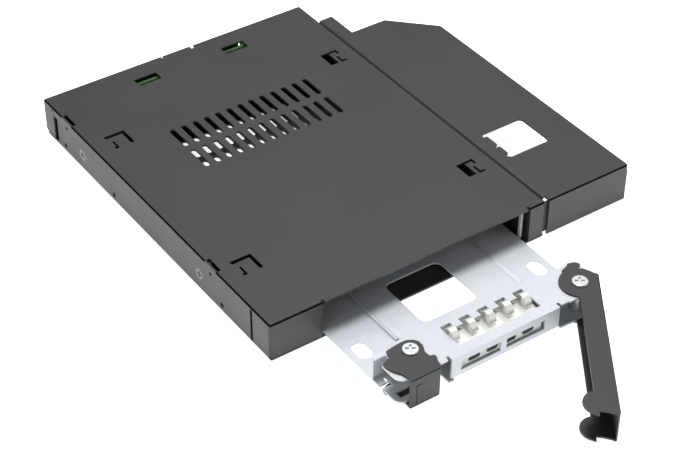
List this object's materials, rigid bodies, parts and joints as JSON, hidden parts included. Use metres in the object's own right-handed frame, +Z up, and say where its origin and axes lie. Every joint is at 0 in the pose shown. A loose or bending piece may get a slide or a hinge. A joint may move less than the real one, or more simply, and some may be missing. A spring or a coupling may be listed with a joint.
{
  "type": "hard drive mobile rack",
  "caption": "Slim steel mobile rack with a pull-out tray for a small hard drive, a swing-out lever, a spring latch and a side wing with a cut-out.",
  "frame": {"origin": "centre of the chassis underside, midway across its whole width and depth", "axes": "+X to the wing's side, +Y to the rear, away from the tray's mouth, +Z up"},
  "size_m": [0.128, 0.206, 0.0127],
  "materials": {
    "grey_coat": "satin",
    "black_plastic": "matte",
    "green_board": "satin",
    "clear_plastic": "gloss",
    "zinc": "bright",
    "plated_steel": "satin",
    "spring_steel": "bright"
  },
  "bodies": {
    "chassis": {"chassis_base": "grey_coat", "top_cover": "grey_coat", "side_wing": "grey_coat", "left_guide_rail": "black_plastic", "right_guide_rail": "black_plastic", "backplane_board": "green_board", "drive_connector": "black_plastic", "host_connector": "black_plastic", "light_guide": "clear_plastic", "status_board": "green_board", "rail_screws": "zinc", "wing_rivets": "zinc"},
    "tray": {"tray_floor": "plated_steel", "front_bracket": "plated_steel", "emi_spring": "spring_steel", "lever_post": "zinc", "lever_screw": "zinc", "latch_post": "zinc", "latch_screw": "zinc", "latch_spring": "spring_steel"},
    "lever_arm": {"lever": "grey_coat"},
    "latch_arm": {"latch": "grey_coat"}
  },
  "joints": [
    {"name": "tray_slide", "type": "slide", "parent": "chassis", "child": "tray", "axis": [0, 1, 0], "range_m": [-0.055, 0.037]},
    {"name": "lever_swing", "type": "hinge", "parent": "tray", "child": "lever_arm", "pos_m": [0.0185, -0.09585, 0.0057], "axis": [0, 0, 1], "range_deg": [-55, 20]},
    {"name": "latch_turn", "type": "hinge", "parent": "tray", "child": "latch_arm", "pos_m": [-0.0369, -0.0915, 0.0057], "axis": [0, 0, 1], "range_deg": [-10, 0], "stiffness_Nm_per_rad": 0.005}
  ]
}
